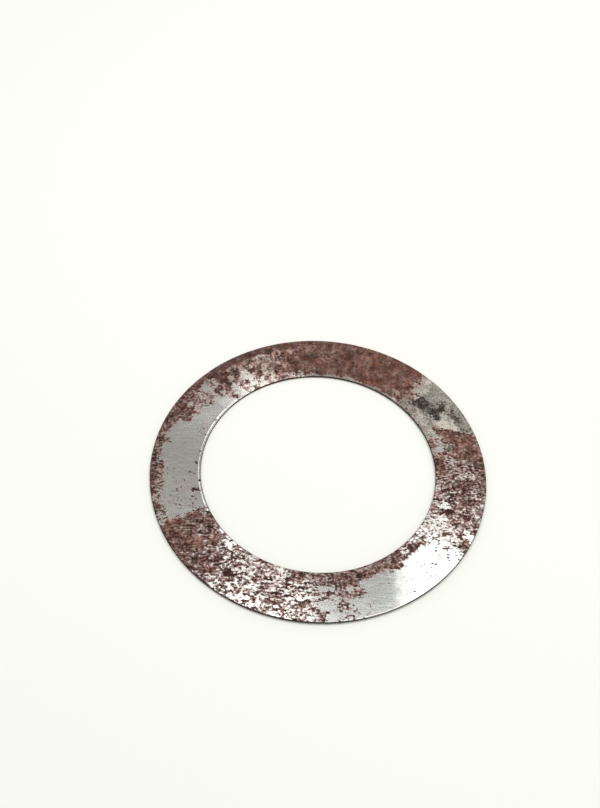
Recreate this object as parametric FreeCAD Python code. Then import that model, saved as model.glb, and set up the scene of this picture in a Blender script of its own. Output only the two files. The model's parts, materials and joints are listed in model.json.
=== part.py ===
"""A thin flat washer: one ring stamped out of spring steel sheet.

Units are millimetres. The origin is the centre of the bore on the face that the
washer lies on, and +Z is the axis of the bore, out of the upper face.
"""

import FreeCAD
import Part
import math
import os
from collections import namedtuple

# Driving dimensions.
BORE_DIAMETER = 28.0
OUTER_DIAMETER = 40.0
THICKNESS = 0.30

# The punch rolls the upper edges over and leaves the lower edges crisp.
ROLLED_EDGE_RADIUS = 0.10
CRISP_EDGE_RADIUS = 0.02

OUTPUT_FOLDER = "parts"
FULL_TURN = 360

# One rounded corner of the ring's section: where its arc leaves the wall, the arc's
# middle, and where it meets the face.
Corner = namedtuple("Corner", "on_wall middle on_face")


def section_corner(wall_radius, face_height, edge_radius, outwards, upwards):
    """A corner of the section between a wall and a face.

    outwards is +1 on the outer wall and -1 on the bore; upwards is +1 on the upper
    face and -1 on the lower one.
    """
    centre_x = wall_radius - outwards * edge_radius
    centre_z = face_height - upwards * edge_radius
    reach = edge_radius * math.sqrt(0.5)
    return Corner(
        on_wall=FreeCAD.Vector(wall_radius, 0, centre_z),
        middle=FreeCAD.Vector(centre_x + outwards * reach, 0, centre_z + upwards * reach),
        on_face=FreeCAD.Vector(centre_x, 0, face_height),
    )


def corner_arc(corner):
    """The quarter arc that rounds a corner."""
    return Part.Arc(corner.on_wall, corner.middle, corner.on_face).toShape()


def ring_section():
    """The closed section of the ring, in the XZ plane, as a face."""
    bore = BORE_DIAMETER / 2
    rim = OUTER_DIAMETER / 2
    upper_rim = section_corner(rim, THICKNESS, ROLLED_EDGE_RADIUS, +1, +1)
    upper_bore = section_corner(bore, THICKNESS, ROLLED_EDGE_RADIUS, -1, +1)
    lower_bore = section_corner(bore, 0.0, CRISP_EDGE_RADIUS, -1, -1)
    lower_rim = section_corner(rim, 0.0, CRISP_EDGE_RADIUS, +1, -1)
    outline = Part.Wire([
        corner_arc(upper_rim),
        Part.makeLine(upper_rim.on_face, upper_bore.on_face),
        corner_arc(upper_bore),
        Part.makeLine(upper_bore.on_wall, lower_bore.on_wall),
        corner_arc(lower_bore),
        Part.makeLine(lower_bore.on_face, lower_rim.on_face),
        corner_arc(lower_rim),
        Part.makeLine(lower_rim.on_wall, upper_rim.on_wall),
    ])
    return Part.Face(outline)


def washer_ring():
    """The washer itself: its section turned once round the bore's axis."""
    axis_point = FreeCAD.Vector(0, 0, 0)
    axis_direction = FreeCAD.Vector(0, 0, 1)
    return ring_section().revolve(axis_point, axis_direction, FULL_TURN)


def export(shape, node):
    """Writes one sub-part, after checking that it is a valid closed solid."""
    if shape.ShapeType != "Solid" or not shape.isValid() or not shape.isClosed():
        raise ValueError(f"{node} is not a valid closed solid")
    shape.exportStep(os.path.join(OUTPUT_FOLDER, f"{node}.step"))
    print(node, f"{shape.Volume:.3f} mm3", shape.optimalBoundingBox(False))


os.makedirs(OUTPUT_FOLDER, exist_ok=True)
export(washer_ring(), "washer_ring")
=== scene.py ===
"""The looks of a thin flat washer: rusted spring steel strip, lying on a pale surface.

All lengths are in metres, in the frame of the CAD model: the origin is the centre of
the bore on the face that the washer lies on, and +Z leaves the upper face. Angles round
the ring are in degrees, counter-clockwise from +X as seen from above. A place "across"
the ring is 0 at the bore and 1 at the rim.
"""

import json
import math

import bpy
import numpy as np
from mathutils import Matrix, Vector, noise


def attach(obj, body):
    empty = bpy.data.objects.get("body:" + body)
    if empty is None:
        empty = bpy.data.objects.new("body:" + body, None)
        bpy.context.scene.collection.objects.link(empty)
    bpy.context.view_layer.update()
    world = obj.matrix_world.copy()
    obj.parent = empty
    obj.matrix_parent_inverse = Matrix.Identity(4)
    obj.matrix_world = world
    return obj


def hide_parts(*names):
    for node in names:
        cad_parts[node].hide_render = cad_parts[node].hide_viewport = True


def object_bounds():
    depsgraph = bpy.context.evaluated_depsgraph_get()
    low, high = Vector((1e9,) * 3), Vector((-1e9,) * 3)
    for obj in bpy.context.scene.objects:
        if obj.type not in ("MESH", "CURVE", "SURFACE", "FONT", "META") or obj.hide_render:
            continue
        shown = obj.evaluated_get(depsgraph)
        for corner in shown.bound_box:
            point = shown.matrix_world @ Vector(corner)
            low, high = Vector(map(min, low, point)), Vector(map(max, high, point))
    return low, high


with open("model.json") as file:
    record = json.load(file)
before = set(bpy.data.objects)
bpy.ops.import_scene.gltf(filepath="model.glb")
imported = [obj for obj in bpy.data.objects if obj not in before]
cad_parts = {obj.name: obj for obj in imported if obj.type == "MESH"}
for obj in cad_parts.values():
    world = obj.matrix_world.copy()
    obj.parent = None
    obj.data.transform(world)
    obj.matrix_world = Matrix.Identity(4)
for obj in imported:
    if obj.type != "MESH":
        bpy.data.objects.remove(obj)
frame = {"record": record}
CAD_LOW, CAD_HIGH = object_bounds()

MM = 0.001

# The ring, as the frame gives it.
RIM_RADIUS = CAD_HIGH.x
THICKNESS = CAD_HIGH.z - CAD_LOW.z
BORE_MOUNT = next(m for m in frame["record"]["mounts"] if m["name"] == "bore")
BORE_RADIUS = BORE_MOUNT["dims"]["r_mm"] * MM
BAND = RIM_RADIUS - BORE_RADIUS
ROLLED_EDGE = THICKNESS / 3
CRISP_EDGE = THICKNESS / 15

# The fineness of the ring's mesh. Rows of a face crowd towards its two edges.
COLUMNS = 882
TOP_ROWS = 64
BOTTOM_ROWS = 18
WALL_ROWS = 5
ROLLED_ROWS = 6
CRISP_ROWS = 2
CROWDING = 0.4

# How far the rust crust stands above the bare metal, and how steeply it rises there with
# the cover of rust and with the lumps in it.
CRUST_HEIGHT = 0.010 * MM
CRUST_BY_LEVEL = 0.35
CRUST_BY_LUMPS = 1.5

# The size of the lumps. Each further octave of them is half as large and a little lower.
LUMP = 0.9 * MM
OCTAVE_FALL = 0.5
OCTAVE_STEP = 2.0
OCTAVES = 4

# How far the outlines of strokes wander, and how soft the edge of a single mark is.
WANDER = 0.35 * MM
SPOT_FADE = 0.10 * MM

# How dark the rolled upper edges and the bore's wall are, where the rim's wall is 1: dark
# oxide, and with it painted shade on the walls and on the edges as they turn from up. An edge
# darkens as the upward part of its direction falls below this.
ROLLED_OXIDE_AND_SHADE = 0.9
ROLLED_FROM = 0.97
ROLLED_SHARPNESS = 3

# A logistic curve of this steepness is close to the running share of a bell curve. Shares
# are held this far from none and from all.
BELL_STEEPNESS = 1.702
LEAST_SHARE = 0.001

# The underside's strokes are the upper side's, mirrored about half this angle.
UNDERSIDE_TURN = 230.0

# A texture layout for baking. The unrolled ring lies
# in it in this many pieces a side, with bare margins along and across each of them.
BAKE_LAYOUT = "OFBake"
SHEET_PIECES = 6
SHEET_MARGIN = (0.006, 0.016)

# The camera, in units of the rim's radius and degrees, and its lens in mm.
CAMERA_ELEVATION = 52.52
CAMERA_ROLL = 2.84
CAMERA_DISTANCE = 6.29
CAMERA_TARGET = (-0.1286, 0.4794)
CAMERA_LENS = 44.72
CAMERA_SENSOR = 36.0
CAMERA_NEAR = 1 * MM


# ---------------------------------------------------------------- the ring's mesh


def arc_rows(centre_out, centre_up, radius, first, last, rows):
    """Points and outward directions along an arc of the section, ends included."""
    turn = np.radians(np.linspace(first, last, rows + 1))
    direction = np.stack([np.cos(turn), np.sin(turn)], axis=1)
    return np.array([centre_out, centre_up]) + radius * direction, direction


def line_rows(start, end, direction, rows):
    """Points along a straight side of the section, ends left out."""
    along = np.linspace(0, 1, rows + 1)[1:-1, None]
    along = along - CROWDING * np.sin(2 * math.pi * along) / (2 * math.pi)
    points = np.array(start) * (1 - along) + np.array(end) * along
    return points, np.tile(np.array(direction, float), (len(points), 1))


def section():
    """The closed section of the ring: points (out, up), directions and sides."""
    low, high = 0.0, THICKNESS
    bore, rim = BORE_RADIUS, RIM_RADIUS
    rolled, crisp = ROLLED_EDGE, CRISP_EDGE
    pieces = [
        ("top", arc_rows(bore + rolled, high - rolled, rolled, 180, 90, ROLLED_ROWS)),
        ("top", line_rows((bore + rolled, high), (rim - rolled, high), (0, 1), TOP_ROWS)),
        ("top", arc_rows(rim - rolled, high - rolled, rolled, 90, 0, ROLLED_ROWS)),
        ("rim", line_rows((rim, high - rolled), (rim, low + crisp), (1, 0), WALL_ROWS)),
        ("bottom", arc_rows(rim - crisp, low + crisp, crisp, 0, -90, CRISP_ROWS)),
        ("bottom", line_rows((rim - crisp, low), (bore + crisp, low), (0, -1), BOTTOM_ROWS)),
        ("bottom", arc_rows(bore + crisp, low + crisp, crisp, -90, -180, CRISP_ROWS)),
        ("bore", line_rows((bore, low + crisp), (bore, high - rolled), (-1, 0), WALL_ROWS)),
    ]
    points = np.concatenate([piece[0] for _, piece in pieces])
    directions = np.concatenate([piece[1] for _, piece in pieces])
    sides = np.concatenate([[side] * len(piece[0]) for side, piece in pieces])
    return points, directions, sides


def smooth_step(value):
    """0 below 0, 1 above 1, and a smooth rise between."""
    held = np.clip(value, 0, 1)
    return held * held * (3 - 2 * held)


def lumps(places, seed):
    """Lumpy noise at each place, from about -1 to 1."""
    shift = Vector((seed, seed, seed))
    octaves = (OCTAVE_FALL, OCTAVE_STEP, OCTAVES)
    return np.array([noise.fractal(Vector(p) + shift, *octaves) for p in places / LUMP])


class Ring:
    """Every point of the ring's surface, as flat arrays in mesh order."""

    def __init__(self):
        points, directions, sides = section()
        self.rows = len(points)
        self.turn = np.repeat(np.arange(COLUMNS) * 2 * math.pi / COLUMNS, self.rows)
        self.out = np.tile(points[:, 0], COLUMNS)
        self.up = np.tile(points[:, 1], COLUMNS)
        self.normal_out = np.tile(directions[:, 0], COLUMNS)
        self.normal_up = np.tile(directions[:, 1], COLUMNS)
        self.side = np.tile(sides, COLUMNS)
        self.across = np.clip((self.out - BORE_RADIUS) / BAND, 0, 1)

        # Strokes are laid on places that wander a little, so no stroke has a straight edge.
        # The underside can't be seen, so it has the same strokes at other angles.
        places = self.directions(self.out, self.up * 0)
        degrees = np.degrees(self.turn + WANDER * lumps(places, seed=9) / self.out)
        on_underside = self.side == "bottom"
        self.painted_degrees = np.where(on_underside, UNDERSIDE_TURN - degrees, degrees)
        self.painted_across = self.across + WANDER * lumps(places, seed=5) / BAND

    def directions(self, out, up):
        """Vectors at every point, from their parts away from the axis and along it."""
        return np.stack([out * np.cos(self.turn), out * np.sin(self.turn), up], axis=1)

    def faces(self):
        """Four corners for each face of the mesh, counter-clockwise as seen from outside."""
        column = np.arange(COLUMNS)[:, None]
        row = np.arange(self.rows)[None, :]
        after = (column + 1) % COLUMNS * self.rows
        here = column * self.rows
        below = (row + 1) % self.rows
        corners = [here + row, here + below, after + below, after + row]
        return np.stack(np.broadcast_arrays(*corners), axis=-1).reshape(-1, 4)

    def sector(self, first, last, inner, outer, fade, slant=0.0, steady=False):
        """A soft mask of the ring between two angles and two places across it.

        slant is how many degrees further back the mask's ends are at the rim than at the
        bore. A steady mask has straight edges.
        """
        degrees = np.degrees(self.turn) if steady else self.painted_degrees
        across = self.across if steady else self.painted_across
        degrees = degrees + slant * (across - 0.5)
        middle, half = (first + last) / 2, (last - first) / 2
        past_end = np.abs((degrees - middle + 180) % 360 - 180) - half
        past_end = np.radians(past_end) * self.out / MM
        past_side = np.abs(across - (inner + outer) / 2) - (outer - inner) / 2
        past_side = past_side * BAND / MM
        return smooth_step(0.5 - past_end / fade) * smooth_step(0.5 - past_side / fade)


ring = Ring()

# ---------------------------------------------------------------- painting the ring
#
# Each stroke is: from angle, to angle, from across, to across, amount, fade in mm, and
# for some a slant in degrees. A stroke lies over the ones before it. Their places and
# amounts were chosen to put the zones of rust and dirt where the photo has them.

# Places past the two edges, for strokes that run over them.
PAST_BORE = -0.2
PAST_RIM = 1.2

# What the cover of rust, its depth and the film's shade are away from all strokes.
BARE_RUST = 0.002
BARE_DEEP = 0.5
BARE_SHADE = 0.6

RUST = [
    # The right-hand side: rust speckled with metal all the way across.
    (-24, 14, PAST_BORE, PAST_RIM, 0.82, 1.5),
    (-20, -14, 0.10, 0.35, 0.60, 0.8),
    (-6, 3, 0.50, 0.70, 0.66, 0.8),
    (-2, 8, 0.20, 0.38, 0.64, 0.8),
    (3, 8, 0.42, 0.60, 0.90, 0.5),
    (3, 7, 0.62, 0.95, 0.68, 0.6),
    (-12, -2, 0.02, 0.22, 0.58, 0.8),
    (-9, 2, 0.90, PAST_RIM, 0.68, 0.6),
    # The end of it is a band of orange rust. Its ends lie further back at the rim.
    (8, 22.5, 0.28, PAST_RIM, 0.960, 0.8, 12.0),
    (20, 26, 0.26, 0.38, 0.82, 0.4),
    (-2, 21, PAST_BORE, 0.16, 0.92, 0.5),
    (11.5, 18, 0.27, 0.42, 0.25, 0.4),
    (12.8, 14.8, 0.04, 0.28, 0.08, 0.3),
    (16, 21, 0.16, 0.28, 0.42, 0.4),
    (15.5, 20, 0.26, 0.42, 0.92, 0.4),
    (8, 12, 0.02, 0.12, 0.40, 0.4),
    # Hardly any under the film of dirt, and then the far side's solid rust.
    (37.5, 39.5, 0.10, 0.18, 0.80, 0.3),
    (44.6, 53, PAST_BORE, 0.74, 0.74, 2.2),
    (44.8, 48, 0.23, 0.42, 0.88, 0.6),
    (48.3, 110, PAST_BORE, PAST_RIM, 0.996, 1.3),
    (49.5, 53.5, 0.13, 0.28, 0.60, 0.5),
    (20, 98, PAST_BORE, 0.06, 0.25, 0.25),
    (85, 91, 0.45, 0.80, 0.93, 0.8),
    (93, 101, 0.70, 0.88, 0.93, 0.8),
    (94, 101, PAST_BORE, 0.06, 0.40, 0.4),
    (99.5, 109, PAST_BORE, 0.17, 0.22, 0.4),
    (100, 111, 0.58, 0.78, 0.80, 0.6),
    # It breaks up towards the left, first along the bore.
    (104, 108, 0.15, 0.90, 0.92, 1.2),
    (108, 131, PAST_BORE, 0.90, 0.78, 1.5),
    (107, 114, 0.42, 0.58, 0.93, 0.5),
    (107, 111, 0.60, 0.78, 0.50, 0.5),
    (115, 119, 0.23, 0.42, 0.55, 0.5),
    (109, 112.5, 0.03, 0.16, 0.97, 0.4),
    (114, 117, 0.70, 0.80, 0.10, 0.5),
    (117.5, 121.5, 0.50, 0.70, 0.50, 0.6),
    (121, 129, 0.22, 0.60, 0.42, 0.9),
    (124, 128, 0.24, 0.56, 0.06, 0.6),
    (118, 137, PAST_BORE, 0.24, 0.06, 0.8),
    (112.5, 118, PAST_BORE, 0.22, 0.42, 0.6),
    (118, 121, 0.22, 0.42, 0.92, 0.5),
    (125.5, 129.5, 0.22, 0.30, 0.62, 0.3),
    (124, 127, PAST_BORE, 0.12, 0.84, 0.3),
    (129, 137.5, 0.40, PAST_RIM, 0.74, 0.8),
    (131.8, 137.5, 0.52, 0.92, 0.97, 0.7),
    (128.5, 132, 0.42, 0.78, 0.44, 0.5),
    (135.5, 139.5, 0.15, 0.45, 0.70, 0.7),
    (136.7, 137.4, PAST_BORE, 0.18, 0.80, 0.25),
    (137, 141, 0.46, 0.86, 0.60, 0.6),
    (138, 147, 0.82, PAST_RIM, 0.90, 0.5),
    (140, 148, 0.36, 0.60, 0.30, 0.8),
    (137.5, 141, 0.36, 0.55, 0.80, 0.7),
    (144.5, 148, 0.60, PAST_RIM, 0.64, 0.8),
    (110, 165, 0.90, PAST_RIM, 0.97, 0.6),
    (103.5, 136, 0.80, PAST_RIM, 0.985, 0.6),
    (144, 147.2, 0.42, 0.62, 0.62, 0.4),
    (147, 152, 0.46, 0.92, 0.80, 0.6),
    (147.5, 150, 0.36, 0.50, 0.25, 0.4),
    (153, 160.5, 0.56, PAST_RIM, 0.91, 0.5),
    (154, 156, 0.44, 0.56, 0.90, 0.4),
    (157.5, 160, 0.46, 0.58, 0.90, 0.4),
    (160, 162.8, 0.74, PAST_RIM, 0.90, 0.5),
    # A ragged fringe along the rim of the clean left side.
    (162, 204, 0.86, PAST_RIM, 0.88, 0.5),
    (163, 168, 0.81, PAST_RIM, 0.93, 0.4),
    (167.5, 169.5, 0.84, 0.93, 0.40, 0.3),
    (170.6, 172.4, 0.70, 0.86, 0.88, 0.3),
    (175, 178, 0.80, PAST_RIM, 0.90, 0.4),
    (180.8, 187.5, 0.76, PAST_RIM, 0.95, 0.5),
    (187.5, 193, 0.72, PAST_RIM, 0.92, 0.4),
    (192.5, 196, 0.84, PAST_RIM, 0.85, 0.4),
    (195, 197, 0.86, 0.95, 0.50, 0.4),
    (198, 201, 0.80, PAST_RIM, 0.95, 0.4),
    (202, 205, 0.80, PAST_RIM, 0.40, 0.4),
    (184, 206, 0.08, 0.80, 0.018, 1.5),
    (159, 165, 0.10, 0.28, 0.030, 0.6),
    (153.2, 154.8, 0.02, 0.09, 0.80, 0.2),
    (195.6, 196.5, 0.00, 0.16, 0.97, 0.15),
    # The near left side: dense rust.
    (206, 233, PAST_BORE, PAST_RIM, 0.93, 0.7),
    (206, 234, PAST_BORE, 0.07, 0.45, 0.3),
    (206, 210, PAST_BORE, 0.10, 0.10, 0.4),
    (210.5, 212.5, PAST_BORE, 0.08, 0.97, 0.3),
    (213, 217, 0.26, 0.42, 0.74, 0.6),
    (215.5, 220, PAST_BORE, 0.38, 0.74, 0.5),
    (216, 224, 0.42, 0.62, 0.99, 0.5),
    (219, 222, PAST_BORE, 0.08, 0.10, 0.3),
    (223, 228, 0.42, 0.60, 0.80, 0.5),
    (223, 228, 0.78, PAST_RIM, 0.82, 0.5),
    (225, 228, 0.20, 0.32, 0.50, 0.5),
    (224.5, 232, 0.02, 0.20, 0.04, 0.4),
    (222, 224.5, 0.02, 0.10, 0.95, 0.3),
    (222, 224.5, 0.15, 0.24, 0.97, 0.3),
    (229, 236, 0.42, PAST_RIM, 0.84, 1.0),
    (231, 236.5, PAST_BORE, 0.42, 0.14, 0.6),
    (227, 232, 0.02, 0.20, 0.02, 0.4),
    (227.5, 231, 0.24, 0.42, 0.86, 0.4),
    # Then rust speckled over bright metal.
    (233, 272, PAST_BORE, PAST_RIM, 0.40, 1.5),
    (235, 239, 0.53, 0.67, 0.97, 0.4),
    (236, 240, 0.80, PAST_RIM, 0.15, 0.5),
    (240, 244, 0.42, 0.60, 0.12, 0.5),
    (244, 248, PAST_BORE, 0.42, 0.68, 0.6),
    (244, 248, 0.60, 0.78, 0.55, 0.5),
    (239.5, 243.5, 0.80, PAST_RIM, 0.10, 0.5),
    (239, 262, 0.84, PAST_RIM, 0.34, 0.6),
    (243.5, 252, 0.80, PAST_RIM, 0.20, 0.5),
    (246, 248, 0.86, 0.94, 0.70, 0.3),
    (249, 258, 0.20, 0.32, 0.22, 0.5),
    (255, 259.5, 0.04, 0.22, 0.16, 0.4),
    (256, 264, 0.80, PAST_RIM, 0.26, 0.5),
    (251, 256, 0.40, 0.55, 0.70, 0.7),
    (252, 256, 0.42, PAST_RIM, 0.68, 0.6),
    (256, 260, 0.42, 0.60, 0.20, 0.5),
    (256, 260, 0.60, 0.78, 0.58, 0.5),
    (260, 268, 0.24, 0.58, 0.22, 0.6),
    (260, 264, 0.10, 0.26, 0.90, 0.5),
    (264, 267, 0.62, 0.76, 0.90, 0.4),
    (263.7, 269.3, 0.48, 0.60, 0.01, 0.35),
    (258, 272, PAST_BORE, 0.12, 0.80, 0.5),
    (267.5, 272, 0.78, PAST_RIM, 0.08, 0.5),
    # It thins out, except along the bore.
    (270, 282, 0.22, PAST_RIM, 0.45, 0.8),
    (272.4, 273.8, 0.84, 0.93, 0.75, 0.3),
    (273.7, 278.5, 0.80, PAST_RIM, 0.03, 0.4),
    (272, 278.5, 0.54, 0.77, 0.02, 0.5),
    (270, 274, 0.44, 0.58, 0.20, 0.4),
    (279, 281, 0.62, 0.85, 0.14, 0.4),
    (279.5, 284, 0.42, 0.60, 0.60, 0.5),
    (271.5, 279, 0.25, 0.42, 0.02, 0.35),
    (275.3, 278.3, 0.41, 0.50, 0.80, 0.3),
    (279, 288, 0.84, PAST_RIM, 0.10, 0.5),
    (284, 289.3, 0.42, 0.56, 0.56, 0.4),
    (285, 300, 0.58, 0.95, 0.006, 0.6),
    (270, 311.8, PAST_BORE, 0.26, 0.87, 0.4),
    (280, 288, 0.20, 0.36, 0.87, 0.4),
    (286, 291, PAST_BORE, 0.20, 0.80, 0.5),
    (294, 303, PAST_BORE, 0.20, 0.93, 0.5),
    (307, 311.5, PAST_BORE, 0.20, 0.93, 0.4),
    (302, 308, 0.20, 0.34, 0.90, 0.4),
    (311.8, 319, PAST_BORE, 0.22, 0.66, 0.5),
    (319, 326, PAST_BORE, 0.22, 0.32, 0.5),
    (314.5, 319.5, 0.17, 0.26, 0.96, 0.3),
    (315, 319.5, PAST_BORE, 0.10, 0.76, 0.3),
    (313, 315.5, 0.02, 0.18, 0.12, 0.3),
    (320.5, 324.5, 0.17, 0.34, 0.58, 0.4),
    # The bright near right side: hardly any.
    (290, 326, 0.36, PAST_RIM, 0.003, 0.6),
    (300, 326, 0.60, 0.95, 0.005, 1.0),
    # It thickens again towards the right-hand side.
    (326, 338, PAST_BORE, PAST_RIM, 0.18, 1.0),
    (326, 331, PAST_BORE, 0.42, 0.10, 0.5),
    (327.5, 332.3, 0.80, PAST_RIM, 0.80, 0.4),
    (323.5, 331, 0.58, 0.77, 0.05, 0.4),
    (332, 336.5, 0.58, 0.78, 0.76, 0.5),
    (332, 340, 0.23, 0.42, 0.05, 0.6),
    (332.4, 335.8, 0.83, PAST_RIM, 0.02, 0.4),
    (335.5, 357, 0.38, PAST_RIM, 0.77, 0.9),
    (340, 357, PAST_BORE, 0.38, 0.47, 0.7),
    (338.5, 343, PAST_BORE, 0.20, 0.80, 0.5),
    (340, 347, 0.80, PAST_RIM, 0.50, 0.5),
    (339.2, 342, 0.31, 0.44, 0.995, 0.3),
    (341.5, 345, 0.18, 0.29, 0.0, 0.25),
    (344.9, 348.3, 0.24, 0.42, 0.90, 0.4),
    (355, 362, 0.02, 0.34, 0.76, 0.8),
    (347.5, 352, 0.42, 0.58, 0.50, 0.5),
    (347.5, 352, PAST_BORE, 0.42, 0.36, 0.5),
    (348, 352, 0.80, PAST_RIM, 0.62, 0.5),
    (351.5, 356.5, 0.23, 0.60, 0.96, 0.5),
    (351.5, 355.5, PAST_BORE, 0.20, 0.36, 0.5),
    (351.5, 356, 0.60, 0.78, 0.66, 0.5),
]

# Single marks on the clean metal: angle, across, radius in mm.
SPOTS = [
    (171.0, 0.41, 0.12),
    (170.4, 0.38, 0.08),
    (171.7, 0.73, 0.12),
    (164.0, 0.07, 0.10),
    (174.0, 0.06, 0.13),
    (180.5, 0.10, 0.16),
    (181.1, 0.09, 0.14),
    (191.0, 0.03, 0.15),
    (193.0, 0.40, 0.08),
    (194.8, 0.16, 0.12),
    (198.6, 0.23, 0.10),
    (202.0, 0.25, 0.11),
    (200.0, 0.28, 0.06),
    (284.5, 0.80, 0.10),
    (283.6, 0.72, 0.11),
    (280.4, 0.93, 0.12),
    (283.0, 0.95, 0.09),
    (302.4, 0.84, 0.07),
    (302.9, 0.78, 0.06),
    (305.0, 0.87, 0.04),
    (311.2, 0.82, 0.07),
    (311.6, 0.76, 0.06),
    (317.8, 0.71, 0.11),
    (317.1, 0.65, 0.10),
    (322.8, 0.79, 0.11),
    (322.0, 0.84, 0.08),
    (325.3, 0.66, 0.11),
    (322.2, 0.53, 0.13),
    (323.4, 0.50, 0.12),
]

# How dark the rust is, from pale (0) to nearly black (1).
DEEP = [
    (-24, 14, PAST_BORE, PAST_RIM, 0.45, 2.0),
    (8, 27, PAST_BORE, PAST_RIM, 0.42, 1.5),
    (45, 112, PAST_BORE, PAST_RIM, 0.475, 2.0),
    (60.5, 64.5, 0.24, 0.42, 0.66, 0.8),
    (77, 80, 0.50, 0.67, 0.68, 0.7),
    (96, 99.5, 0.42, 0.58, 0.66, 0.8),
    (96, 100, 0.16, 0.27, 0.68, 0.7),
    (110, 114, 0.80, PAST_RIM, 0.60, 1.0),
    (84, 91, 0.45, 0.85, 0.38, 1.2),
    (92, 102, 0.66, 0.90, 0.40, 1.2),
    (69, 74, 0.50, 0.80, 0.44, 1.5),
    (46, 52, 0.20, 0.95, 0.38, 1.0),
    (99, 112, 0.60, 0.78, 0.38, 1.0),
    (106, 128, PAST_BORE, 0.9, 0.38, 1.5),
    (128, 140, 0.40, PAST_RIM, 0.52, 1.0),
    (104, 136, 0.82, PAST_RIM, 0.60, 0.6),
    (131, 138, 0.52, 0.95, 0.64, 0.8),
    (140, 205, 0.60, PAST_RIM, 0.53, 1.0),
    (160, 205, PAST_BORE, 0.60, 0.85, 1.0),
    (205, 233, PAST_BORE, PAST_RIM, 0.42, 1.0),
    (211.5, 214, 0.76, 0.90, 0.62, 0.8),
    (221.5, 225, 0.66, 0.83, 0.62, 0.8),
    (233, 290, PAST_BORE, PAST_RIM, 0.48, 1.5),
    (235, 239, 0.50, 0.70, 0.78, 0.6),
    (270, 330, PAST_BORE, 0.35, 0.42, 0.8),
    (300, 328, 0.40, PAST_RIM, 0.60, 0.8),
    (326, 357, PAST_BORE, PAST_RIM, 0.47, 1.0),
    (321, 335, PAST_BORE, 0.60, 0.34, 1.2),
    (339, 342.5, 0.26, 0.46, 0.80, 0.6),
]

# How red the rust is; the rest is greyer.
RUDDY = [
    (-4, 22, PAST_BORE, 0.30, 0.8, 1.5),
    (9, 26, PAST_BORE, PAST_RIM, 1.0, 2.0),
    (45, 112, PAST_BORE, PAST_RIM, 0.5, 2.5),
    (45, 74, PAST_BORE, PAST_RIM, 1.0, 4.0),
    (206, 224, 0.10, PAST_RIM, 0.4, 2.0),
]

# A film of dried dirt on the metal.
FILM = [
    (17, 48.5, PAST_BORE, PAST_RIM, 1.0, 0.8),
    (17, 22, 0.04, 0.32, 0.65, 0.5),
    (49.5, 53.5, 0.13, 0.28, 0.9, 0.5),
    (50, 98, PAST_BORE, 0.07, 0.8, 0.2),
]

# How pale the film is: olive grey along the rim, cream in the middle, grey by the bore. Its
# palest stroke, by the bore from 12 to 21 degrees, is painted highlight for glints of bare
# metal.
FILM_SHADE_AND_GLINTS = [
    (17, 27, 0.73, PAST_RIM, 0.58, 0.8),
    (28, 45, 0.70, PAST_RIM, 0.65, 0.8),
    (19, 27.5, 0.36, 0.74, 1.04, 0.8, 6.0),
    (28, 32, 0.52, 0.70, 0.80, 0.4),
    (42, 49, 0.36, 0.95, 0.88, 0.7),
    (33, 40, 0.23, 0.36, 0.58, 0.4),
    (20, 46, PAST_BORE, 0.24, 0.61, 0.6),
    (28, 36, PAST_BORE, 0.24, 0.74, 0.6),
    (39.5, 44.5, 0.76, PAST_RIM, 0.62, 0.5),
    # Painted highlight: the film is made palest here to stand for glints of bare metal.
    (12, 21, 0.0, 0.33, 1.05, 0.5),
]

# Dark, sooty blotches in that film.
SOOT = [
    (18, 46, 0.30, PAST_RIM, 0.12, 1.0),
    (19, 27.5, 0.36, 0.74, 0.03, 0.6, 6.0),
    (24.5, 30.5, 0.70, 0.84, 0.66, 0.5),
    (20, 22, 0.78, 0.90, 0.45, 0.5),
    (29.3, 36, 0.35, 0.56, 0.975, 0.5, -3.0),
    (31.3, 34.3, 0.50, 0.74, 0.975, 0.4),
    (34.5, 42.5, 0.28, 0.55, 0.985, 0.5, 3.0),
    (28, 31.0, 0.52, 0.70, 0.02, 0.4),
    (27, 31.5, 0.20, 0.39, 0.02, 0.4),
    (34.4, 36.6, 0.30, 0.50, 0.45, 0.3),
    (33.8, 35.0, 0.50, 0.62, 0.55, 0.3),
    (39.5, 43.5, 0.22, 0.34, 0.70, 0.4),
    (12, 15, 0.28, 0.44, 0.93, 0.3),
    (15, 18, 0.27, 0.36, 0.88, 0.3),
]

# Where that dirt is green.
GREEN = [
    (11, 18.5, 0.22, 0.48, 0.9, 0.3),
]

# Where the rust spots are patchy, with soft edges.
SOFT = [
    (139, 167, PAST_BORE, PAST_RIM, 0.6, 3.0),
    (40, 141, PAST_BORE, PAST_RIM, 1.0, 3.0),
]

# How warm the light on the bare metal looks, over its own unevenness.
WARMTH = [
    (100, 136, PAST_BORE, PAST_RIM, 0.70, 3.0),
    (136, 206, PAST_BORE, PAST_RIM, 0.20, 5.0),
    (233, 270, PAST_BORE, PAST_RIM, 0.20, 3.0),
    (-30, 16, PAST_BORE, PAST_RIM, 0.35, 3.0),
]

# Lean of the surface towards -Y, in degrees: the strip is very slightly warped.
LEAN = [
    (-44, 20, PAST_BORE, PAST_RIM, 2.7, 6.0),
    (134, 161, PAST_BORE, 1.0, 3.4, 5.0),
    (96, 130, PAST_BORE, 1.0, 6.3, 3.0),
    (112, 136, PAST_BORE, 0.40, 7.1, 2.5),
    (134, 145, PAST_BORE, 0.36, 5.1, 2.5),
    (172, 207, PAST_BORE, PAST_RIM, -1.6, 4.0),
    (233, 270, PAST_BORE, PAST_RIM, 0.2, 3.0),
    (222, 236, PAST_BORE, 0.42, 1.5, 1.5),
    (269, 282, PAST_BORE, PAST_RIM, -2.1, 3.5),
    (278, 303, PAST_BORE, PAST_RIM, -2.4, 3.0, 7.0),
    (303, 330, PAST_BORE, PAST_RIM, 0.7, 4.5, 7.0),
    (309.5, 330, PAST_BORE, PAST_RIM, 2.2, 3.5, 7.0),
]

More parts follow.
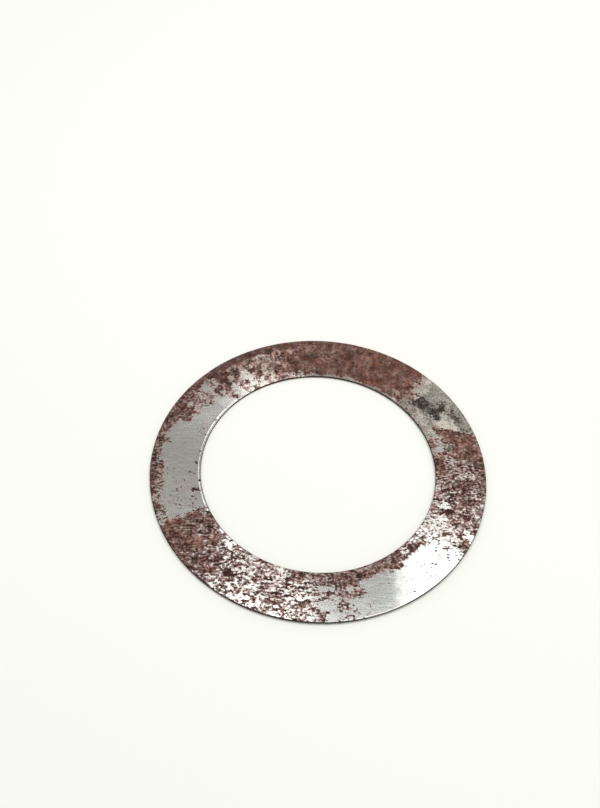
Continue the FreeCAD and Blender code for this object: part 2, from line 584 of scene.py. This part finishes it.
# The same for the burnished lines along the edges.
EDGE_LEAN = [
    (284, 301, 0.982, PAST_RIM, 3.5, 0.10),
    (18, 100, 0.036, 0.052, 6.0, 0.08),
    (137, 146, 0.036, 0.052, 2.5, 0.08),
    (146, 236, 0.036, 0.052, 6.0, 0.08),
]

# Where the rolled edge is bright (0) instead of dark with oxide and painted shade (1).
BRIGHT_EDGE = [
    (284, 301, 0.5, PAST_RIM, 0.3, 0.5),
]


def unroll(mesh):
    """Lays the surface out flat for textures: the top and rim, then the bottom and bore."""
    edge = np.stack([ring.out[:ring.rows], ring.up[:ring.rows]], axis=1)
    steps = np.hypot(*(np.roll(edge, -1, axis=0) - edge).T)
    length = np.concatenate([[0], np.cumsum(steps)])
    turning = int(np.argmax(ring.side[:ring.rows] == "bottom"))

    column = np.repeat(np.arange(COLUMNS), ring.rows)
    row = np.tile(np.arange(ring.rows), COLUMNS)
    half = (row >= turning).astype(int)
    start = np.array([length[0], length[turning]])[half]
    end = np.array([length[turning], length[-1]])[half]
    piece = column * SHEET_PIECES // COLUMNS

    margin_along, margin_over = SHEET_MARGIN
    corners = []
    for column_on, row_on in ((0, 0), (0, 1), (1, 1), (1, 0)):
        along = (column + column_on) * SHEET_PIECES / COLUMNS - piece
        over = (length[row + row_on] - start) / (end - start)
        along = margin_along + (1 - 2 * margin_along) * along
        over = margin_over + (1 - 2 * margin_over) * over
        corners.append(np.stack([(half + along) / 2, (piece + over) / SHEET_PIECES], axis=1))
    layer = mesh.uv_layers.new(name=BAKE_LAYOUT)
    layer.data.foreach_set("uv", np.stack(corners, axis=1).astype(np.float32).ravel())


def painted(base, strokes, steady=False):
    """A value over the whole surface: base, with each stroke laid over the last."""
    value = np.full(len(ring.turn), float(base))
    for first, last, inner, outer, amount, fade, *slant in strokes:
        mask = ring.sector(first, last, inner, outer, fade, *slant, steady=steady)
        value = value * (1 - mask) + amount * mask
    return value


def spotted(value, spots):
    """The same value with round marks of full cover added, on both faces."""
    for angle, across, radius in spots:
        turn = math.radians(angle)
        out = BORE_RADIUS + across * BAND
        away_x = ring.out * np.cos(ring.turn) - out * math.cos(turn)
        away_y = ring.out * np.sin(ring.turn) - out * math.sin(turn)
        past = np.hypot(away_x, away_y) - radius * MM
        value = np.maximum(value, smooth_step(0.5 - past / SPOT_FADE))
    return value


def level_of(cover):
    """How many standard deviations of a bell curve leave that share below them."""
    share = np.clip(cover, LEAST_SHARE, 1 - LEAST_SHARE)
    return np.log(share / (1 - share)) / BELL_STEEPNESS


def oxide_and_shade():
    """How dark the surface is with oxide and painted shade: on the walls and on the rolled
    upper edges.
    """
    rolled = smooth_step(ROLLED_SHARPNESS * (ROLLED_FROM - ring.normal_up))
    rolled = rolled * (ring.side != "bottom") * painted(1.0, BRIGHT_EDGE)
    return np.maximum(ring.side == "rim", ROLLED_OXIDE_AND_SHADE * rolled)


def crusted(level):
    """Every point, with the bare metal a little below the crust of rust."""
    places = ring.directions(ring.out, ring.up)
    crust = smooth_step(0.5 + CRUST_BY_LEVEL * level + CRUST_BY_LUMPS * lumps(places, seed=1))
    sunk = CRUST_HEIGHT * (1 - crust)
    return places - ring.directions(ring.normal_out, ring.normal_up) * sunk[:, None]


def leaning_normals():
    """The outward direction at every point, with the strip's slight warp in it."""
    lean = painted(0.0, LEAN) + painted(0.0, EDGE_LEAN, steady=True)
    normals = ring.directions(ring.normal_out, ring.normal_up)
    normals[:, 1] -= np.radians(lean) * np.abs(ring.normal_up)
    return normals


def ring_mesh():
    """The ring's surface, with its texture layout and all that is painted on it."""
    rust_level = level_of(spotted(painted(BARE_RUST, RUST), SPOTS))
    values = {
        "rust_level": rust_level,
        "deep": painted(BARE_DEEP, DEEP),
        "ruddy": painted(0.0, RUDDY),
        "soft": painted(0.0, SOFT),
        "film": painted(0.0, FILM),
        "film_shade_and_glints": painted(BARE_SHADE, FILM_SHADE_AND_GLINTS),
        "soot_level": level_of(painted(0.0, SOOT)),
        "green": painted(0.0, GREEN),
        "warmth": painted(0.0, WARMTH),
        # Dark oxide on the walls and rolled edges, with painted shade there.
        "oxide_and_shade": oxide_and_shade(),
    }
    mesh = bpy.data.meshes.new("washer_ring_surface")
    mesh.from_pydata(crusted(rust_level), [], ring.faces().tolist())
    mesh.polygons.foreach_set("use_smooth", np.ones(len(mesh.polygons), bool))
    unroll(mesh)
    for name, value in values.items():
        layer = mesh.attributes.new(name, "FLOAT", "POINT")
        layer.data.foreach_set("value", value.astype(np.float32))
    mesh.normals_split_custom_set_from_vertices(leaning_normals())
    return mesh


# ---------------------------------------------------------------- materials


# Blender's noise varies round this value, with a spread of one part in this many.
NOISE_MIDDLE = 0.5
NOISE_GAIN = 16.0

# Where the Mix node keeps each kind of data: the first of its two inputs, and its output.
MIX_SOCKETS = {"FLOAT": (2, 0), "RGBA": (6, 2)}

# The level of reflections from what isn't metal: rust, dirt and the floor hardly shine.
MATT_SHINE = 0.1


class Nodes:
    """A material's nodes, added and joined by plain calls that return a socket."""

    def __init__(self, name):
        self.material = bpy.data.materials.new(name)
        self.material.use_nodes = True
        self.tree = self.material.node_tree
        self.shader = self.tree.nodes["Principled BSDF"]
        self.shader.inputs["Specular IOR Level"].default_value = MATT_SHINE

    def add(self, kind, **settings):
        """A new node of that kind."""
        node = self.tree.nodes.new(kind)
        for key, value in settings.items():
            setattr(node, key, value)
        return node

    def feed(self, socket, value):
        """Joins a socket to another one, or gives it a plain value."""
        if isinstance(value, bpy.types.NodeSocket):
            self.tree.links.new(value, socket)
        elif hasattr(value, "__len__") and len(value) == 3 and len(socket.default_value) == 4:
            socket.default_value = (*value, 1)
        else:
            socket.default_value = value

    def math(self, operation, first, second, clamp=False):
        """One operation on two sockets or numbers."""
        node = self.add("ShaderNodeMath", operation=operation, use_clamp=clamp)
        self.feed(node.inputs[0], first)
        self.feed(node.inputs[1], second)
        return node.outputs[0]

    def product(self, first, second, clamp=False):
        """Two sockets or numbers, multiplied."""
        return self.math("MULTIPLY", first, second, clamp)

    def highest(self, *values):
        """The largest of some sockets or numbers."""
        largest, *others = values
        for other in others:
            largest = self.math("MAXIMUM", largest, other)
        return largest

    def sum(self, *terms):
        """The sum of sockets, numbers and (weight, socket) pairs."""
        total = 0.0
        for term in terms:
            if isinstance(term, tuple):
                weight, socket = term
                term = self.product(socket, weight)
            total = self.math("ADD", total, term)
        return total

    def step(self, value, low, high, smooth=True):
        """0 where value is below low and 1 above high."""
        kind = "SMOOTHSTEP" if smooth else "LINEAR"
        node = self.add("ShaderNodeMapRange", interpolation_type=kind)
        self.feed(node.inputs["Value"], value)
        node.inputs["From Min"].default_value = low
        node.inputs["From Max"].default_value = high
        return node.outputs["Result"]

    def mix(self, kind, factor, low, high, **settings):
        """A value of that kind that goes from low to high as factor goes from 0 to 1."""
        first, result = MIX_SOCKETS[kind]
        node = self.add("ShaderNodeMix", data_type=kind, **settings)
        self.feed(node.inputs[0], factor)
        self.feed(node.inputs[first], low)
        self.feed(node.inputs[first + 1], high)
        return node.outputs[result]

    def between(self, factor, low, high):
        """A number that goes from low to high."""
        return self.mix("FLOAT", factor, low, high)

    def blend(self, factor, low, high):
        """A colour that goes from low to high."""
        return self.mix("RGBA", factor, low, high)

    def tint(self, colour, tint):
        """A colour with each of its parts multiplied by the tint's."""
        return self.mix("RGBA", 1.0, colour, tint, blend_type="MULTIPLY")

    def attribute(self, name):
        """A value that was painted on the mesh."""
        return self.add("ShaderNodeAttribute", attribute_name=name).outputs["Fac"]

    def noise(self, size, stretch=(1, 1, 1), detail=3.0, roughness=0.6, cloud=0.0):
        """Cloudy noise with lumps of that size, about 0 and with a spread of 1.

        stretch is how much faster it changes along each axis, and noises with different
        cloud numbers have nothing to do with each other.
        """
        place = self.add("ShaderNodeMapping", vector_type="POINT")
        place.inputs["Scale"].default_value = stretch
        self.feed(place.inputs["Vector"], self.add("ShaderNodeTexCoord").outputs["Object"])
        node = self.add("ShaderNodeTexNoise", noise_dimensions="4D")
        self.feed(node.inputs["Vector"], place.outputs["Vector"])
        node.inputs["W"].default_value = cloud
        node.inputs["Scale"].default_value = 1 / size
        node.inputs["Detail"].default_value = detail
        node.inputs["Roughness"].default_value = roughness
        return self.sum(-NOISE_MIDDLE * NOISE_GAIN, (NOISE_GAIN, node.outputs["Fac"]))

    def ramp(self, factor, stops):
        """A colour read off a scale of (place, colour) stops."""
        node = self.add("ShaderNodeValToRGB")
        scale = node.color_ramp.elements
        while len(scale) < len(stops):
            scale.new(0.5)
        for element, (place, colour) in zip(scale, stops):
            element.position = place
            element.color = (*colour, 1)
        self.feed(node.inputs["Fac"], factor)
        return node.outputs["Color"]

    def bump(self, height):
        """A surface direction that shows a height in mm as relief."""
        node = self.add("ShaderNodeBump")
        node.inputs["Distance"].default_value = MM
        self.feed(node.inputs["Height"], height)
        return node.outputs["Normal"]

    def finish(self, **inputs):
        """The material, with the shader's inputs given by name."""
        for name, value in inputs.items():
            self.feed(self.shader.inputs[name.replace("_", " ").title()], value)
        return self.material


# Colours of the crust, from the thin pinkish edge of a rust spot to its dark heart.
RUST_SCALE = (
    (0.00, (0.46, 0.355, 0.305)),
    (0.25, (0.26, 0.172, 0.143)),
    (0.50, (0.142, 0.078, 0.063)),
    (0.75, (0.078, 0.036, 0.028)),
    (1.00, (0.036, 0.016, 0.013)),
)
RUDDY_SCALE = (
    (0.00, (0.46, 0.320, 0.258)),
    (0.25, (0.262, 0.146, 0.113)),
    (0.50, (0.152, 0.073, 0.056)),
    (0.75, (0.085, 0.034, 0.025)),
    (1.00, (0.041, 0.015, 0.011)),
)

# Colours of the dried film of dirt, from dark grey to cream.
FILM_SCALE = (
    (0.00, (0.075, 0.066, 0.054)),
    (0.40, (0.195, 0.174, 0.137)),
    (0.70, (0.372, 0.342, 0.286)),
    (1.00, (0.605, 0.535, 0.450)),
)
SOOT_COLOUR = (0.038, 0.030, 0.026)
THIN_SOOT = (0.132, 0.109, 0.086)
GREEN_DIRT = (0.090, 0.108, 0.068)
# Near-black oxide, which also serves as painted shade on the walls and rolled edges.
OXIDE_AND_SHADE_COLOUR = (0.024, 0.020, 0.016)
DULL_STEEL = (0.436, 0.438, 0.396)
BRIGHT_STEEL = (0.627, 0.630, 0.569)
STAINED_STEEL = (0.29, 0.22, 0.195)
FLOOR_COLOUR = (0.960, 0.945, 0.850)

# Slight shifts of colour over all of the washer but its edges.
COOL_TINT = (0.91, 1.07, 1.15)
WARM_TINT = (1.10, 0.92, 0.84)
BLUE_TINT = (1.00, 1.00, 1.14)
YELLOW_TINT = (1.00, 1.00, 0.86)

# How rough the metal and the matt layers on it are.
METAL_ROUGHNESS = 0.20
MATT_ROUGHNESS = 0.80


class Surface:
    """The noises and layers that the parts of the washer's material share.

    A noise has a spread of about 1, and weights and limits are in terms of that spread.
    A layer goes from 0, where there is none of it, to 1.
    """

    def __init__(self, n):
        soft = n.attribute("soft")
        self.soft = soft

        # The speckle that rust breaks up into: small pointed spots on coarser ones.
        self.fine = n.noise(0.30 * MM, (0.85, 1.1, 1), roughness=0.55)
        spots = n.noise(0.72 * MM, (0.75, 1.2, 1), detail=2.0, roughness=0.5)
        patches = n.noise(0.75 * MM, (1.1, 0.9, 1), detail=2.0, roughness=0.5, cloud=9.0)
        coarse = n.between(soft, spots, patches)
        tongues = n.noise(0.19 * MM, (0.32, 1, 1))
        crosswise = n.noise(0.22 * MM, (1, 0.38, 1), cloud=11.0)
        narrow = n.between(soft, tongues, crosswise)
        sharpness = n.between(soft, 1.0, 0.62)
        small_spots = n.product(n.sum((0.76, self.fine), (0.40, narrow)), sharpness)
        self.speckle = n.sum(small_spots, n.product(coarse, n.between(soft, 0.46, 0.50)))

        # Unevenness of tone, height and colour.
        self.grain = n.noise(0.16 * MM, detail=2.0, cloud=3.0)
        self.blotch = n.noise(0.55 * MM, detail=2.0, cloud=5.0)
        self.haze = n.noise(0.9 * MM, cloud=7.0)
        self.streaks = n.noise(0.12 * MM, (0.10, 1, 1))
        self.hue = n.noise(1.0 * MM, roughness=0.5, cloud=13.0)
        self.tinge = n.noise(0.6 * MM, cloud=15.0)

        # The layers on the steel.
        self.rust_level = n.attribute("rust_level")
        level = n.sum(self.rust_level, self.speckle)
        self.rust = n.step(n.product(n.sum(level, 0.1), sharpness), -0.9, 0.9)
        self.stain = n.step(level, -2.0, -0.2)
        self.film = n.product(n.attribute("film"), n.step(self.haze, -4.2, -1.2), clamp=True)
        self.soot = n.step(n.sum(n.attribute("soot_level"), self.speckle), -0.9, 0.7)
        # Where the walls and rolled edges are dark with oxide and painted shade.
        self.oxide_and_shade = n.attribute("oxide_and_shade")


def rust_colour(n, surface):
    """The crust, from tone 0 for the palest to 1 for the darkest."""
    # Broken rust has more contrast than solid rust, and paler thin edges.
    contrast = n.between(n.step(surface.rust_level, -0.3, 2.7), 0.38, 0.105)
    pale = n.between(n.step(surface.rust_level, -0.3, 1.6), 0.36, 0.0)
    dark_heart = n.product(n.highest(surface.blotch, 0.0), n.between(surface.soft, 0.17, 0.09))
    tone = n.sum(
        n.attribute("deep"),
        n.product(contrast, surface.speckle),
        (-1.0, pale),
        dark_heart,
        (0.03, surface.grain),
        (0.045, surface.haze),
    )
    return n.blend(n.attribute("ruddy"), n.ramp(tone, RUST_SCALE), n.ramp(tone, RUDDY_SCALE))


def film_colour(n, surface):
    """The dried film of dirt, with painted highlight in its palest part."""
    shade = n.attribute("film_shade_and_glints")
    shade = n.sum(shade, (0.07, surface.haze), (0.16, surface.speckle), (0.10, surface.grain))
    return n.ramp(shade, FILM_SCALE)


def soot_colour(n, surface):
    """The dark blotches in that film, thin in places, and green in some."""
    uneven = n.sum((0.9, surface.fine), (0.6, surface.grain), (0.4, surface.blotch))
    blot = n.blend(n.step(uneven, 0.0, 2.2), SOOT_COLOUR, THIN_SOOT)
    return n.blend(n.attribute("green"), blot, GREEN_DIRT)


def steel_colour(n, surface):
    """Bare steel with faint rolling streaks, stained where rust is near."""
    uneven = n.sum((0.4, surface.streaks), (0.8, surface.grain))
    steel = n.blend(n.step(uneven, -2.9, 2.9, smooth=False), DULL_STEEL, BRIGHT_STEEL)
    return n.blend(surface.stain, steel, STAINED_STEEL)


def tinted(n, surface, colour):
    """The same colour, shifted a little between cool and warm and between blue and yellow."""
    warmth = n.product(n.attribute("warmth"), n.between(surface.rust, 1.0, 0.0))
    warmth = n.sum(warmth, n.product(surface.hue, n.between(surface.rust, 0.07, 0.52)))
    yellowness = n.product(surface.tinge, n.between(surface.rust, 0.05, 0.34))
    shifts = ((warmth, COOL_TINT, WARM_TINT), (yellowness, BLUE_TINT, YELLOW_TINT))
    for shift, low, high in shifts:
        tint = n.blend(n.step(shift, -1.5, 1.5, smooth=False), low, high)
        colour = n.tint(colour, tint)
    return colour


def washer_material():
    """Satin steel under a film of dirt, soot, rust and, on the edges, dark oxide with painted
    shade.
    """
    n = Nodes("rusted_spring_steel")
    surface = Surface(n)
    colour = n.blend(surface.film, steel_colour(n, surface), film_colour(n, surface))
    colour = n.blend(surface.soot, colour, soot_colour(n, surface))
    colour = n.blend(surface.rust, colour, rust_colour(n, surface))
    # The walls and rolled edges take near-black oxide, which also paints their shade.
    colour = n.blend(surface.oxide_and_shade, tinted(n, surface, colour), OXIDE_AND_SHADE_COLOUR)

    matt = n.highest(surface.rust, surface.film, surface.soot, surface.oxide_and_shade)
    satin = n.sum(METAL_ROUGHNESS, (0.012, surface.streaks), (0.14, surface.stain))

    # Heights in mm.
    relief = n.sum(
        (0.008, surface.rust),
        (0.0025, n.product(surface.rust, surface.grain)),
        (0.0015, n.product(surface.film, surface.grain)),
        (0.00004, surface.fine),
        (0.00002, surface.streaks),
    )
    return n.finish(
        base_color=colour,
        metallic=n.math("SUBTRACT", 1.0, matt),
        roughness=n.between(matt, satin, MATT_ROUGHNESS),
        normal=n.bump(relief),
    )


def floor_material():
    """The pale surface that the washer lies on."""
    n = Nodes("pale_surface")
    return n.finish(base_color=FLOOR_COLOUR, roughness=MATT_ROUGHNESS)


def add_piece(name, mesh, material):
    """An object in the scene, with that mesh and material."""
    piece = bpy.data.objects.new(name, mesh)
    bpy.context.scene.collection.objects.link(piece)
    mesh.materials.append(material)
    return piece


washer = add_piece("washer_ring_surface", ring_mesh(), washer_material())
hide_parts("washer_ring")
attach(washer, "root")

# ---------------------------------------------------------------- the setting

FLOOR_HALF = 3.0

# The warped washer touches the floor at its far left and stands off it at its near right,
# so the floor lies below z = 0, and slopes down this much along +X and +Y.
FLOOR_DROP = 0.10 * MM
FLOOR_FALL = (0.0025, -0.0035)

# A softbox hangs level over the scene, its middle to the right of the washer and behind
# it. The rest of the light comes from a white room.
SOFTBOX_PLACE = (0.05, 0.057, 0.35)
SOFTBOX_SIZE = (0.46, 0.215)
SOFTBOX_POWER = 0.95
SOFTBOX_TINT = (0.96, 1.0, 1.06)
ROOM_LIGHT = 0.50


def floor_mesh():
    """A large square under the washer, tilted a little."""
    mesh = bpy.data.meshes.new("floor")
    corners = [(-1, -1), (1, -1), (1, 1), (-1, 1)]
    corners = [(x * FLOOR_HALF, y * FLOOR_HALF) for x, y in corners]
    fall_x, fall_y = FLOOR_FALL
    places = [(x, y, -FLOOR_DROP - fall_x * x - fall_y * y) for x, y in corners]
    mesh.from_pydata(places, [], [(0, 1, 2, 3)])
    return mesh


add_piece("floor", floor_mesh(), floor_material())


def add_room():
    """An even white light from all sides."""
    world = bpy.data.worlds.new("soft_room")
    world.use_nodes = True
    sky = world.node_tree.nodes["Background"]
    sky.inputs["Color"].default_value = (1, 1, 1, 1)
    sky.inputs["Strength"].default_value = ROOM_LIGHT
    bpy.context.scene.world = world


def add_softbox():
    """A rectangular lamp that shines straight down."""
    light = bpy.data.lights.new("softbox", "AREA")
    light.shape = "RECTANGLE"
    light.size, light.size_y = SOFTBOX_SIZE
    light.energy = SOFTBOX_POWER
    light.color = SOFTBOX_TINT
    lamp = bpy.data.objects.new("softbox", light)
    lamp.location = SOFTBOX_PLACE
    bpy.context.scene.collection.objects.link(lamp)


def add_camera():
    """The photo's camera, looking down at the washer from -Y."""
    elevation = math.radians(CAMERA_ELEVATION)
    back = Vector((0, -math.cos(elevation), math.sin(elevation)))
    right = Vector((1, 0, 0))
    turn = Matrix((right, back.cross(right), back)).transposed()
    turn = turn @ Matrix.Rotation(math.radians(CAMERA_ROLL), 3, "Z")
    place = Vector((*CAMERA_TARGET, 0)) + back * CAMERA_DISTANCE
    data = bpy.data.cameras.new("camera")
    data.lens = CAMERA_LENS
    data.sensor_width = CAMERA_SENSOR
    data.clip_start = CAMERA_NEAR
    camera = bpy.data.objects.new("camera", data)
    camera.matrix_world = Matrix.Translation(place * RIM_RADIUS) @ turn.to_4x4()
    bpy.context.scene.collection.objects.link(camera)
    bpy.context.scene.camera = camera


add_room()
add_softbox()
add_camera()
bpy.context.scene.view_settings.view_transform = "Standard"
